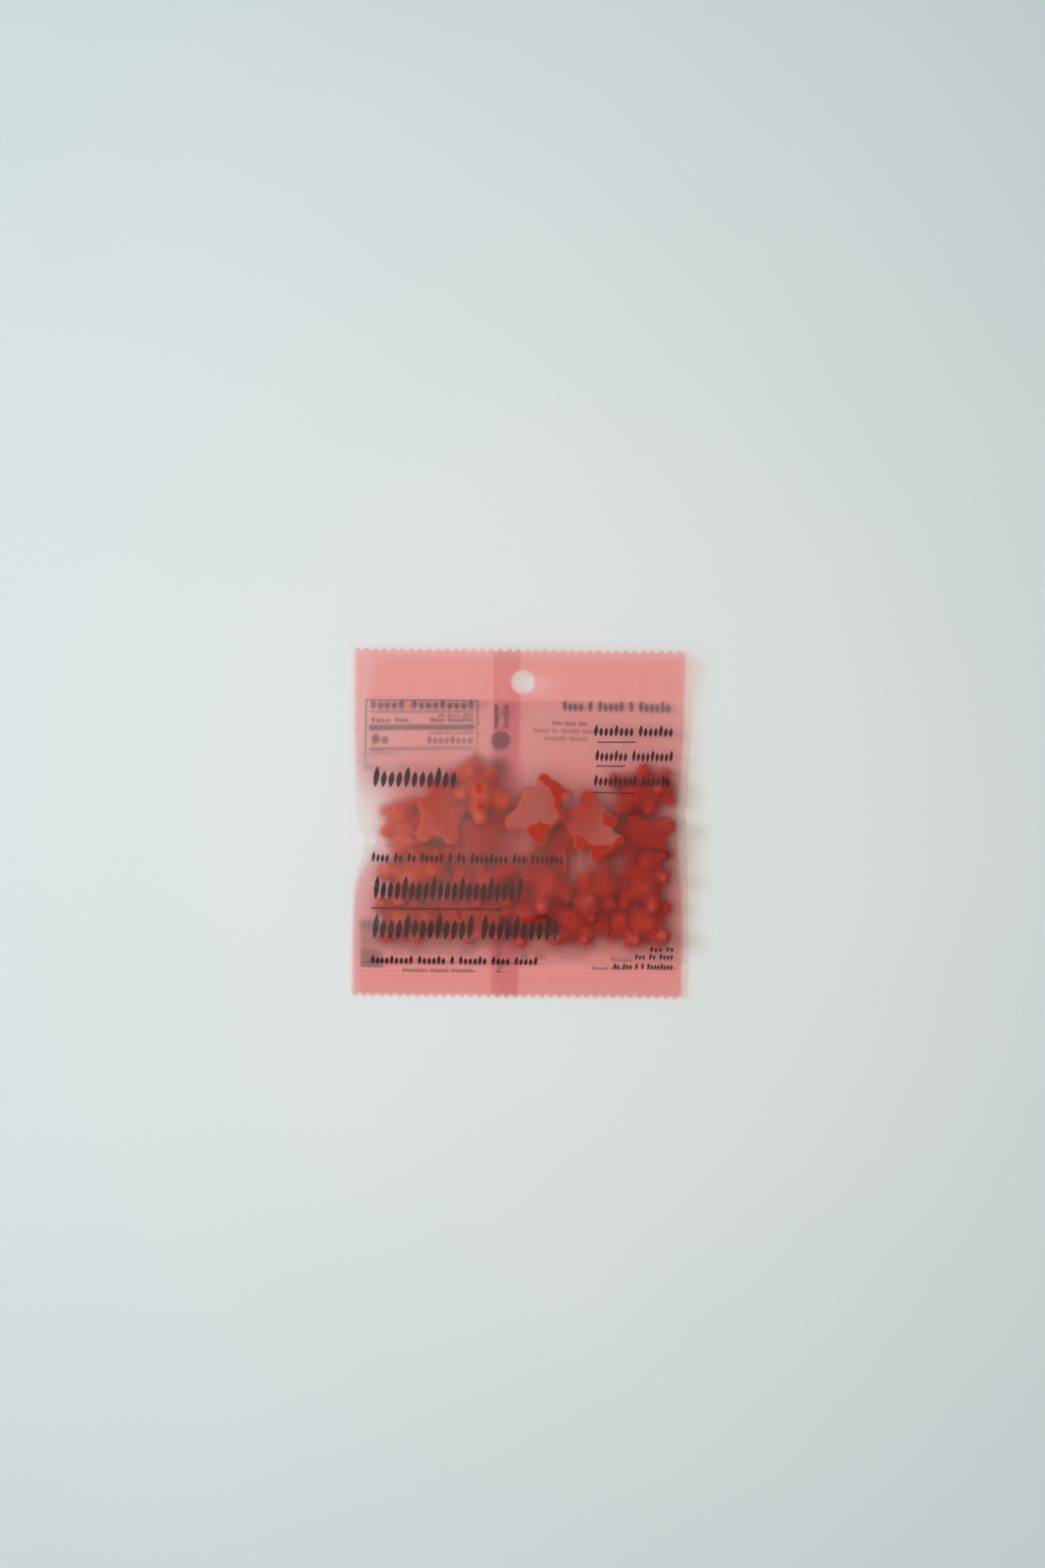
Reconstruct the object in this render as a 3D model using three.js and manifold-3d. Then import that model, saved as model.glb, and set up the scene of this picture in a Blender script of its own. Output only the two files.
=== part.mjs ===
// A small sealed bag of gummy bears, lying on its back with the printed front up.
//
// The bag is one web of plastic film, folded into a tube, joined along its back by a flap
// that lies flat, and sealed across both ends. The header has a round hang hole, the lower
// seal is crimped into ribs, and both ends are cut to saw teeth. The film pulls in at the
// sides where the bears fill it, lies flat on the table below, and drapes over them above.
//
// Millimetres, +Z up, +Y towards the header. The origin is on the table, under the middle
// of the bag.

import * as THREE from "three";
import { mergeVertices } from "three/addons/utils/BufferGeometryUtils.js";
import Module from "manifold-3d";

// The flat bag. The saw teeth of both ends have an eighth-inch pitch.
const TOOTH_PITCH = 3.175;
const TOOTH_COUNT = 38;
const TOOTH_DEPTH = 1.2;
const BAG_LENGTH = 124.4;
const HEADER_LENGTH = 18.2;
const FOOT_SEAL_LENGTH = 11.6;
const SEAL_THICKNESS = 0.5;
const HOLE_DIAMETER = 8.4;
const HOLE_FROM_TOP = 11.7;
const FLAP_WIDTH = 10.2;
const FLAP_THICKNESS = 0.3;
const RIB_COUNT = 7;
const RIB_RISE = 0.15;

// How the filled bag stands on the table: the heights of its seals and side folds, and how
// hard the air in it swells the front and the weight of the bears flattens the back
const HEADER_RISE = 4.0;
const HEADER_LIFT = 2.4;
const FOOT_RISE = 1.6;
const FOOT_LIFT = 0.9;
const FOLD_RISE = 5.6;
const FRONT_PUFF = 0.004;
const BACK_SAG = 0.05;

// Where the side folds pull in: the side (left is -1), how far up the bag, how far in at
// the middle of the pull, and its reach up and down
const WAISTS = [
  { side: -1, y: -2, depth: 1.2, reach: 28 },
  { side: -1, y: -9, depth: 3.0, reach: 9 },
  { side: -1, y: -5.6, depth: 1.5, reach: 1.8 },
  { side: 1, y: 0, depth: 1.5, reach: 24 },
  { side: 1, y: 3.6, depth: 0.5, reach: 1.8 },
];

// A gummy bear, and where the bears lie: their middle, the way that the head points
// (degrees anticlockwise from +Y), and the height of the top of each
const BEAR_LENGTH = 25;
const BEAR_WIDTH = 19;
const BEAR_EDGE_DROP = 3.2;
const BEARS = [
  { x: 4.6, y: 5.1, heading: -25, top: 14.8 },
  { x: 25.8, y: -1.2, heading: -167, top: 14.8 },
  { x: -14.7, y: 12.1, heading: 38, top: 13.4 },
  { x: -42.1, y: -3, heading: 20, top: 9.9 },
  { x: -38, y: -19.4, heading: -75, top: 12.1 },
  { x: -28.9, y: 4.2, heading: -10, top: 11.9 },
  { x: -40.1, y: -34.7, heading: -84, top: 10.6 },
  { x: -17.3, y: -35.5, heading: 95, top: 9.7 },
  { x: 1.8, y: -32.2, heading: 15, top: 9.6 },
  { x: 20.8, y: -34.6, heading: -70, top: 12.2 },
  { x: 43, y: -36.3, heading: 85, top: 11.3 },
  { x: 42.9, y: 11.9, heading: -60, top: 12.2 },
  { x: 43.3, y: -2.8, heading: 75, top: 9.9 },
  { x: 44.9, y: -17.9, heading: -12, top: 12 },
  { x: 29, y: -20.4, heading: 130, top: 12.2 },
  { x: -13.2, y: -21.6, heading: 65, top: 11.8 },
  { x: -17, y: -6.2, heading: -25, top: 10 },
  { x: 9.2, y: -16.8, heading: 10, top: 12.4 },
];

// The grid that the skin is worked out on, and the rounds that it takes to settle
const COLUMNS = 38;
const HEADER_ROWS = 3;
const PILLOW_ROWS = 27;
const RELAX_STEPS = 900;

const FILM_COLOUR = 0xdd8f8d;
const FILM_ROUGHNESS = 0.45;

const BAG_WIDTH = TOOTH_COUNT * TOOTH_PITCH;
const HALF_WIDTH = BAG_WIDTH / 2;
const HALF_LENGTH = BAG_LENGTH / 2;
const HEADER_LINE = HALF_LENGTH - HEADER_LENGTH;
const FOOT_LINE = FOOT_SEAL_LENGTH - HALF_LENGTH;
const PILLOW_LENGTH = HEADER_LINE - FOOT_LINE;
const FOOT_ROWS = 2 * RIB_COUNT;
const ROWS = FOOT_ROWS + PILLOW_ROWS + HEADER_ROWS;

// What the saw-tooth cutters take off beyond the tips, and how far past the bag they reach
const TRIM = 0.6;
const CUTTER_REACH = 10;
const CUTTER_HEIGHT = 12;
const HOLE_SIDES = 32;
const MERGE_DISTANCE = 1e-4;

// How far a height y is up the pillow, from 0 at the foot seal to 1 at the header
function upPillow(y) {
  return THREE.MathUtils.clamp((y - FOOT_LINE) / PILLOW_LENGTH, 0, 1);
}

// The swell of the pillow, 0 at both seals and 1 half way between them
function swell(y) {
  return Math.sin(Math.PI * upPillow(y)) ** 2;
}

// The fold's distance from the middle line on the left (-1) or the right (1)
function foldX(y, side) {
  let inwards = 0;
  for (const waist of WAISTS.filter((one) => one.side === side)) {
    inwards += waist.depth * Math.exp(-(((y - waist.y) / waist.reach) ** 2));
  }
  return side * (HALF_WIDTH - inwards * Math.min(1, 4 * swell(y)));
}

// The height of the film where both layers meet: at the side folds and all over the seals
function meetingHeight(y) {
  const sealRise = upPillow(y) > 0.5 ? HEADER_RISE : FOOT_RISE;
  let height = sealRise + (FOLD_RISE - sealRise) * swell(y);
  if (y > HEADER_LINE) {
    height += (HEADER_LIFT * (y - HEADER_LINE)) / HEADER_LENGTH;
  }
  if (y < FOOT_LINE) {
    const down = (FOOT_LINE - y) / FOOT_SEAL_LENGTH;
    height += FOOT_LIFT * down ** 2 + RIB_RISE * Math.sin(Math.PI * RIB_COUNT * 2 * down);
  }
  return height;
}

// A row's distance up the bag. The rows of the foot seal fall on the crests and troughs
// of its ribs.
function rowY(row) {
  if (row === 0) {
    return -HALF_LENGTH - TRIM;
  }
  if (row < FOOT_ROWS) {
    return -HALF_LENGTH + ((row - 0.5) / FOOT_ROWS) * FOOT_SEAL_LENGTH;
  }
  if (row <= FOOT_ROWS + PILLOW_ROWS) {
    return FOOT_LINE + ((row - FOOT_ROWS) / PILLOW_ROWS) * PILLOW_LENGTH;
  }
  const share = (row - FOOT_ROWS - PILLOW_ROWS) / HEADER_ROWS;
  return HEADER_LINE + share * (HEADER_LENGTH + TRIM);
}

// A column's place across the bag at height y
function columnX(column, y) {
  const share = column / COLUMNS;
  return THREE.MathUtils.lerp(foldX(y, -1), foldX(y, 1), share);
}

// The top of the bears under a point, or nothing where there is none
function bearTop(x, y) {
  let top = -Infinity;
  for (const bear of BEARS) {
    const turn = THREE.MathUtils.degToRad(bear.heading);
    const dx = x - bear.x;
    const dy = y - bear.y;
    const across = (dx * Math.cos(turn) + dy * Math.sin(turn)) / (BEAR_WIDTH / 2);
    const along = (dy * Math.cos(turn) - dx * Math.sin(turn)) / (BEAR_LENGTH / 2);
    const out = across ** 2 + along ** 2;
    if (out < 1) {
      top = Math.max(top, bear.top - BEAR_EDGE_DROP * out ** 2);
    }
  }
  return top;
}

// A height for every point of the grid, settled like a tight skin that pulls level with
// its neighbours, is pushed by a load, and never sinks below what holds it up
function settledSkin(restOn, load, edgeOffset) {
  const heights = [];
  for (let row = 0; row <= ROWS; row++) {
    const y = rowY(row);
    heights.push(new Array(COLUMNS + 1).fill(meetingHeight(y) + edgeOffset));
  }
  const firstRow = FOOT_ROWS + 1;
  const lastRow = FOOT_ROWS + PILLOW_ROWS - 1;
  const acrossPull = (COLUMNS / BAG_WIDTH) ** 2;
  const alongPull = (PILLOW_ROWS / PILLOW_LENGTH) ** 2;
  const pull = 2 * (acrossPull + alongPull);
  for (let step = 0; step < RELAX_STEPS; step++) {
    for (let row = firstRow; row <= lastRow; row++) {
      const y = rowY(row);
      for (let column = 1; column < COLUMNS; column++) {
        const level =
          (acrossPull * (heights[row][column - 1] + heights[row][column + 1]) +
            alongPull * (heights[row - 1][column] + heights[row + 1][column]) +
            load) /
          pull;
        heights[row][column] = Math.max(level, restOn(columnX(column, y), y));
      }
    }
  }
  return heights;
}

// The back flap lies flat under the left half of the back, so the back stands lower there
// wherever the table leaves room for it
function flapDrop(x) {
  return x > -FLAP_WIDTH && x < 0 ? FLAP_THICKNESS : 0;
}

// The whole bag before its ends and its hole are cut: a box whose two large faces take the
// heights of the front and of the back
function bagBlank() {
  const front = settledSkin(bearTop, FRONT_PUFF, SEAL_THICKNESS / 2);
  const back = settledSkin(() => 0, -BACK_SAG, -SEAL_THICKNESS / 2);
  const box = new THREE.BoxGeometry(1, 1, 1, COLUMNS, ROWS, 1);
  const position = box.getAttribute("position");
  for (let i = 0; i < position.count; i++) {
    const column = Math.round((position.getX(i) + 0.5) * COLUMNS);
    const row = Math.round((position.getY(i) + 0.5) * ROWS);
    const y = rowY(row);
    const x = columnX(column, y);
    const onFront = position.getZ(i) > 0;
    const below = Math.max(0, back[row][column] - flapDrop(x));
    position.setXYZ(i, x, y, onFront ? front[row][column] : below);
  }
  return box;
}

// What lies beyond the saw-tooth line of the header (side 1) or of the foot (side -1)
function toothCutter(side) {
  const outline = new THREE.Shape();
  outline.moveTo(-HALF_WIDTH - CUTTER_REACH, side * (HALF_LENGTH + CUTTER_REACH));
  outline.lineTo(-HALF_WIDTH - CUTTER_REACH, side * (HALF_LENGTH - TOOTH_DEPTH));
  for (let tooth = 0; tooth < TOOTH_COUNT; tooth++) {
    const valley = -HALF_WIDTH + tooth * TOOTH_PITCH;
    outline.lineTo(valley, side * (HALF_LENGTH - TOOTH_DEPTH));
    outline.lineTo(valley + TOOTH_PITCH / 2, side * HALF_LENGTH);
  }
  outline.lineTo(HALF_WIDTH, side * (HALF_LENGTH - TOOTH_DEPTH));
  outline.lineTo(HALF_WIDTH + CUTTER_REACH, side * (HALF_LENGTH - TOOTH_DEPTH));
  outline.lineTo(HALF_WIDTH + CUTTER_REACH, side * (HALF_LENGTH + CUTTER_REACH));
  return new THREE.ExtrudeGeometry(outline, { depth: CUTTER_HEIGHT, bevelEnabled: false });
}

// The punch of the hang hole
function holeCutter() {
  const radius = HOLE_DIAMETER / 2;
  const cutter = new THREE.CylinderGeometry(radius, radius, CUTTER_HEIGHT, HOLE_SIDES);
  cutter.rotateX(Math.PI / 2);
  cutter.translate(0, HALF_LENGTH - HOLE_FROM_TOP, CUTTER_HEIGHT / 2);
  return cutter;
}

const wasm = await Module();
wasm.setup();

// A closed geometry as a solid that can be cut
function asSolid(geometry) {
  const bare = geometry.clone();
  bare.deleteAttribute("normal");
  bare.deleteAttribute("uv");
  const merged = mergeVertices(bare, MERGE_DISTANCE);
  const mesh = new wasm.Mesh({
    numProp: 3,
    vertProperties: merged.getAttribute("position").array,
    triVerts: new Uint32Array(merged.index.array),
  });
  return new wasm.Manifold(mesh);
}

// A cut solid back as a geometry
function asGeometry(solid) {
  const mesh = solid.getMesh();
  const geometry = new THREE.BufferGeometry();
  geometry.setAttribute("position", new THREE.BufferAttribute(mesh.vertProperties, 3));
  geometry.setIndex(new THREE.BufferAttribute(mesh.triVerts, 1));
  geometry.computeVertexNormals();
  return geometry;
}

function gummyBag() {
  const cut = asSolid(bagBlank())
    .subtract(asSolid(toothCutter(1)))
    .subtract(asSolid(toothCutter(-1)))
    .subtract(asSolid(holeCutter()));
  const film = new THREE.MeshStandardMaterial({
    color: FILM_COLOUR,
    roughness: FILM_ROUGHNESS,
    metalness: 0,
  });
  const bag = new THREE.Mesh(asGeometry(cut), film);
  bag.name = "gummy_bag";
  return bag;
}

const group = new THREE.Group();
group.add(gummyBag());

export default group;
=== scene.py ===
# %% [markdown]
# # A small bag of gummy bears
# The real thing is a flat pillow bag of frosted, pink-printed film, about 12 cm each way, with
# a handful of gummy bears lying in it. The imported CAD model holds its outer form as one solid.
# This lesson keeps that form and builds what the eye sees: loose bears, a thin skin of film
# that is draped over them, the flap along the back, the print, and their finishes.

# %% Load the frame
import math

import bpy
import numpy as np
from mathutils import Matrix, Vector
from mathutils.bvhtree import BVHTree


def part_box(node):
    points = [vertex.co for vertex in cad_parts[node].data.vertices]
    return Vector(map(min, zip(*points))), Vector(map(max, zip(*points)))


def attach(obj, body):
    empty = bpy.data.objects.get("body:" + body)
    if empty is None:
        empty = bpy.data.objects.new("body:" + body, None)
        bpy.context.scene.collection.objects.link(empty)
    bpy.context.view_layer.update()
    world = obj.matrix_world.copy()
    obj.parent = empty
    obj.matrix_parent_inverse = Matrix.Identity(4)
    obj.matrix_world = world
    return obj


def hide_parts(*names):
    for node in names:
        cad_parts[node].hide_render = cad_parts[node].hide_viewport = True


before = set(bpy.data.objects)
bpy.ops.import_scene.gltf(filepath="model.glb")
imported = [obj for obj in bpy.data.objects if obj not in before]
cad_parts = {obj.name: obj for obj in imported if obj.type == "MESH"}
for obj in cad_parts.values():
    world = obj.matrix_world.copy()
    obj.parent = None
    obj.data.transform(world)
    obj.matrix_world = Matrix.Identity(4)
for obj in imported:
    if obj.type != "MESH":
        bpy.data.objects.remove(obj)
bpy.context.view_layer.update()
MM = 0.001
bag_low, bag_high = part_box("gummy_bag")
WIDTH, LENGTH, THICKNESS = [(high - low) / MM for low, high in zip(bag_low, bag_high)]
print(f"The packed bag is {WIDTH:.1f} x {LENGTH:.1f} x {THICKNESS:.1f} mm")

# %% [markdown]
# The camera comes first, because every later choice is judged through it. The photograph is
# taken from straight above, with a small roll. One pixel of it is 0.35 mm on the table, so the
# height of the camera follows from the lens: the long side of the sensor sees the long side of
# the picture. The camera moves sideways instead of using lens shift, which keeps it simple.

# %% Camera
PHOTO_LONG_SIDE = 1600
PHOTO_MIDDLE = (533.0, 800.0)
BAG_MIDDLE_IN_PHOTO = (531.75, 840.4)
MM_PER_PIXEL = 0.35
LENS = 50.0
SENSOR = 36.0
ROLL = math.radians(0.55)
SEAL_PLANE = 3.0

height = PHOTO_LONG_SIDE * MM_PER_PIXEL * LENS / SENSOR + SEAL_PLANE
aside = Vector((PHOTO_MIDDLE[0] - BAG_MIDDLE_IN_PHOTO[0], BAG_MIDDLE_IN_PHOTO[1] - PHOTO_MIDDLE[1], 0))
camera_data = bpy.data.cameras.new("overhead_camera")
camera_data.lens = LENS
camera_data.sensor_width = SENSOR
camera = bpy.data.objects.new("overhead_camera", camera_data)
bpy.context.collection.objects.link(camera)
camera.location = Matrix.Rotation(ROLL, 3, "Z") @ aside * MM_PER_PIXEL * MM + Vector((0, 0, height * MM))
camera.rotation_euler = (0, 0, ROLL)
bpy.context.scene.camera = camera
print(f"The camera looks down from {height:.0f} mm")

# %% [markdown]
# Shader maths reads best as plain sums. A small class wraps a socket, and its operators add
# the Math nodes. Every other node comes from one method that takes the node's type, its
# settings, and the values or links of its sockets.


# %% Shader helpers
def join(slot, value):
    """Links a wire to a socket, or sets the socket's own value."""
    if isinstance(value, Wire):
        slot.id_data.links.new(value.socket, slot)
    else:
        slot.default_value = value


class Wire:
    """A shader socket that can be written in sums."""

    def __init__(self, socket):
        self.socket = socket

    def maths(self, operation, first, second):
        node = self.socket.id_data.nodes.new("ShaderNodeMath")
        node.operation = operation
        join(node.inputs[0], first)
        join(node.inputs[1], second)
        return Wire(node.outputs[0])

    def __add__(self, other):
        return self.maths("ADD", self, other)

    def __sub__(self, other):
        return self.maths("SUBTRACT", self, other)

    def __rsub__(self, other):
        return self.maths("SUBTRACT", other, self)

    def __mul__(self, other):
        return self.maths("MULTIPLY", self, other)

    __radd__ = __add__
    __rmul__ = __mul__


class Finish:
    """A material that is built node by node."""

    def __init__(self, name):
        self.material = bpy.data.materials.new(name)
        self.material.use_nodes = True
        self.material.node_tree.nodes.clear()

    def add(self, kind, settings=None, sockets=None, out=0):
        node = self.material.node_tree.nodes.new(kind)
        for name, value in (settings or {}).items():
            setattr(node, name, value)
        for name, value in (sockets or {}).items():
            join(node.inputs[name], value)
        return Wire(node.outputs[out]) if node.outputs else node

    def stored(self, name):
        """A number that was stored on the mesh."""
        return self.add("ShaderNodeAttribute", {"attribute_name": name}, out="Fac")

    def ramp(self, value, low, high):
        """0 below low, 1 above high, and smooth between them."""
        settings = {"interpolation_type": "SMOOTHSTEP"}
        return self.add("ShaderNodeMapRange", settings, {"Value": value, 1: low, 2: high})

    def blend(self, share, first, second):
        """A colour between two others."""
        return self.add("ShaderNodeMix", {"data_type": "RGBA"}, {0: share, 6: first, 7: second}, out=2)

    def noise(self, size, detail=2.0):
        """Cloudy noise whose clouds are about size millimetres."""
        place = self.add("ShaderNodeTexCoord", out="Object")
        sockets = {"Vector": place, "Scale": 1 / (size * MM), "Detail": detail}
        return self.add("ShaderNodeTexNoise", {}, sockets)

    def bump(self, relief, depth):
        """Small relief, its depth in millimetres."""
        return self.add("ShaderNodeBump", {}, {"Height": relief, "Strength": 1.0, "Distance": depth * MM})

    def done(self, shader):
        self.add("ShaderNodeOutputMaterial", {}, {"Surface": shader})
        return self.material


def principled(finish, sockets):
    return finish.add("ShaderNodeBsdfPrincipled", {}, sockets)


print("Shader helpers are ready")

# %% [markdown]
# The bag lies on a pale, faintly blue tabletop, which is only the stage. The picture is
# brightest a little left of the bag and falls off to a bluer tone in all four corners. Three
# sources give that: a pale blue sky all round, a warm soft lamp overhead that fades outwards,
# and a large soft window far to the left that gives the film its slopes and the bag its shadow.


# %% Table
TABLE_HALF = 4.0
TABLE_DARK = (0.77, 0.80, 0.80, 1)
TABLE_LIGHT = (0.80, 0.82, 0.82, 1)


def pale_table():
    finish = Finish("pale_table")
    shade = finish.blend(finish.noise(90.0), TABLE_DARK, TABLE_LIGHT)
    grain = finish.bump(finish.noise(0.8), 0.02)
    sockets = {"Base Color": shade, "Roughness": 0.6, "Specular IOR Level": 0.3, "Normal": grain}
    return finish.done(principled(finish, sockets))


table_mesh = bpy.data.meshes.new("table_top")
corners = [(-TABLE_HALF, -TABLE_HALF, 0), (TABLE_HALF, -TABLE_HALF, 0)]
corners += [(TABLE_HALF, TABLE_HALF, 0), (-TABLE_HALF, TABLE_HALF, 0)]
table_mesh.from_pydata(corners, [], [(0, 1, 2, 3)])
table_top = bpy.data.objects.new("table_top", table_mesh)
bpy.context.collection.objects.link(table_top)
table_mesh.materials.append(pale_table())
print(f"The table is {2 * TABLE_HALF:.0f} m wide")

# %% Light
LAMPS = [
    {
        "name": "overhead_lamp",
        "place": (-0.04, 0.005, 0.6),
        "target": (-0.02, -0.01, 0.0),
        "size": 0.5,
        "power": 2.2,
        "colour": (1.0, 0.73, 0.60),
    },
    {
        "name": "left_window",
        "place": (-1.5, 0.3, 1.2),
        "target": (0.0, 0.0, 0.0),
        "size": 0.8,
        "power": 19.5,
        "colour": (0.62, 0.86, 0.97),
    },
]
SKY_COLOUR = (0.62, 0.94, 1.0, 1)
SKY_STRENGTH = 0.302
CLEAR_STEPS = 24


def soft_lamp(name, place, target, size, power, colour):
    data = bpy.data.lights.new(name, "AREA")
    data.shape = "DISK"
    data.size = size
    data.energy = power
    data.color = colour
    lamp = bpy.data.objects.new(name, data)
    bpy.context.collection.objects.link(lamp)
    lamp.location = place
    lamp.rotation_euler = (Vector(target) - Vector(place)).to_track_quat("-Z", "Y").to_euler()


for one in LAMPS:
    soft_lamp(**one)
sky = bpy.data.worlds.new("sky")
sky.use_nodes = True
sky.node_tree.nodes["Background"].inputs["Color"].default_value = SKY_COLOUR
sky.node_tree.nodes["Background"].inputs["Strength"].default_value = SKY_STRENGTH
bpy.context.scene.world = sky
bpy.context.scene.view_settings.view_transform = "Standard"
bpy.context.scene.cycles.transparent_max_bounces = CLEAR_STEPS
print(f"{len(LAMPS)} soft lamps and a sky are in place")

# %% [markdown]
# Every surface of the bag is a height over the table, so the bag is worked out on a grid. The
# driving sizes are those of the real bag: an eighth-inch saw-tooth pitch, a header, a ribbed
# lower seal, and side folds that pull in where the bears fill the bag.

# %% Sizes of the bag, in millimetres
TOOTH_PITCH = 3.175
TOOTH_DEPTH = 1.2
TOOTH_BAND = 3.0
HEADER = 18.2
FOOT_SEAL = 11.6
RIBS = 7
RIB_RISE = 0.13
RIB_FADE = 8
HOLE_RADIUS = 4.2
HOLE_FROM_TOP = 11.7
HOLE_CORE = 0.75
FILM = 0.1
FILM_PLAY = 0.01
HEADER_RISE = 4.0
HEADER_LIFT = 2.4
FOOT_RISE = 1.6
FOOT_LIFT = 0.9
FOLD_RISE = 5.6
SEAL_WAVES = [{"height": 0.16, "length": 11.0, "start": 0.8}, {"height": 0.10, "length": 5.3, "start": 2.0}]
FRONT_PUFF = 0.006
BACK_SAG = 0.05
LEFT, RIGHT = -1, 1
WAISTS = [
    {"side": LEFT, "y": -2.0, "depth": 1.2, "reach": 28.0},
    {"side": LEFT, "y": -9.0, "depth": 3.0, "reach": 9.0},
    {"side": LEFT, "y": -5.6, "depth": 1.5, "reach": 1.8},
    {"side": RIGHT, "y": 0.0, "depth": 1.5, "reach": 24.0},
    {"side": RIGHT, "y": 3.6, "depth": 0.5, "reach": 1.8},
]
HALF_WIDTH = WIDTH / 2
HALF_LENGTH = LENGTH / 2
HEADER_LINE = HALF_LENGTH - HEADER
FOOT_LINE = FOOT_SEAL - HALF_LENGTH
HOLE_Y = HALF_LENGTH - HOLE_FROM_TOP
print(f"The pillow runs from y = {FOOT_LINE:.1f} to y = {HEADER_LINE:.1f} mm")


# %% Outline and seal heights
def smooth(value):
    """0 at 0 and below, 1 at 1 and above, and a soft step between them."""
    value = np.clip(value, 0, 1)
    return value * value * (3 - 2 * value)


def swell(y):
    """0 at both seals and 1 half way between them."""
    share = np.clip((y - FOOT_LINE) / (HEADER_LINE - FOOT_LINE), 0, 1)
    return np.sin(np.pi * share) ** 2


def fold_x(y, side):
    """Where a side fold runs: straight at both seals and drawn in at its waists."""
    inwards = 0 * y
    for waist in WAISTS:
        if waist["side"] == side:
            inwards = inwards + waist["depth"] * np.exp(-(((y - waist["y"]) / waist["reach"]) ** 2))
    return side * (HALF_WIDTH - inwards * np.minimum(1, 4 * swell(y)))


def meeting_height(x, y):
    """Where the front and the back meet: at the side folds and all over both seals."""
    seal_rise = np.where(y > (FOOT_LINE + HEADER_LINE) / 2, HEADER_RISE, FOOT_RISE)
    rise = seal_rise + (FOLD_RISE - seal_rise) * swell(y)
    up = np.clip((y - HEADER_LINE) / HEADER, 0, None)
    down = np.clip((FOOT_LINE - y) / FOOT_SEAL, 0, None)
    ribs = RIB_RISE * np.sin(2 * np.pi * RIBS * down)
    ribs = ribs * smooth(RIB_FADE * down) * smooth(RIB_FADE * (1.02 - down))
    wave = sum(one["height"] * np.sin(x / one["length"] + one["start"]) for one in SEAL_WAVES)
    return rise + HEADER_LIFT * up + FOOT_LIFT * down**2 + ribs + wave * (up + down)


def grid_quads(number):
    """The faces of a grid, from the numbers of its points."""
    quads = np.stack([number[:-1, :-1], number[:-1, 1:], number[1:, 1:], number[1:, :-1]], -1)
    return quads.reshape(-1, 4)


class Web:
    """A grid over the bag: where each point is, and where it was on the flat film."""

    def __init__(self, columns, foot_rows, pillow_rows, header_rows):
        along = [np.linspace(-HALF_LENGTH, FOOT_LINE, foot_rows, endpoint=False)]
        along.append(np.linspace(FOOT_LINE, HEADER_LINE, pillow_rows, endpoint=False))
        along.append(np.linspace(HEADER_LINE, HALF_LENGTH, header_rows + 1))
        self.rows = np.concatenate(along)
        self.share = np.linspace(0, 1, columns + 1)
        self.first, self.last = foot_rows, foot_rows + pillow_rows
        self.along, share = np.meshgrid(self.rows, self.share, indexing="ij")
        self.across = (share - 0.5) * WIDTH
        self.x = fold_x(self.along, LEFT) * (1 - share) + fold_x(self.along, RIGHT) * share
        self.y = self.along - self.teeth()
        self.keep = self.open_hole()

    def teeth(self):
        """How far the saw teeth draw each point in from its end of the bag."""
        place = ((self.across + HALF_WIDTH) / TOOTH_PITCH) % 1
        near_end = smooth((np.abs(self.along) - HALF_LENGTH + TOOTH_BAND) / TOOTH_BAND)
        return np.sign(self.along) * TOOTH_DEPTH * np.abs(1 - 2 * place) * near_end

    def open_hole(self):
        """Draws the grid round the hang hole into a circle, and says which points stay."""
        column = HALF_WIDTH * 2 / (len(self.share) - 1)
        row = self.rows[-1] - self.rows[-2]
        half_x = column * round(HOLE_CORE * HOLE_RADIUS / column)
        half_y = row * round(HOLE_CORE * HOLE_RADIUS / row)
        dx, dy = self.x, self.along - HOLE_Y
        ring = np.maximum(np.abs(dx) / half_x, np.abs(dy) / half_y)
        out = np.maximum(np.hypot(dx, dy), 1e-6)
        push = (HOLE_RADIUS - out / np.maximum(ring, 1e-6)) * np.clip(1.5 - 0.5 * ring, 0, 1)
        push = np.where(ring > 0.99, push, 0)
        self.x = self.x + push * dx / out
        self.y = self.y + push * dy / out
        return ring > 0.99

    def quads(self):
        quads = grid_quads(np.arange(self.x.size).reshape(self.x.shape))
        return quads[self.keep.ravel()[quads].all(1)]


front_web = Web(228, 35, 140, 28)
back_web = Web(152, 21, 70, 14)
print(f"The front has {front_web.x.size} points and the back {back_web.x.size}")

# %% [markdown]
# One gummy bear is a union of soft lumps with a flat back, because it is cast in a starch
# mould. It could be sculpted by hand, but lumps that are remeshed into one skin and smoothed
# give the same rounded jelly form in a few lines, and each bear can have its limbs a little
# differently, as cast bears do. All lumps are cut off at one height, so that the limbs too reach
# the flat back, and what is left is stretched to a bear's height. The finished bear is then made
# six per cent smaller across and along, which is the size in the photograph.

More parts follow.
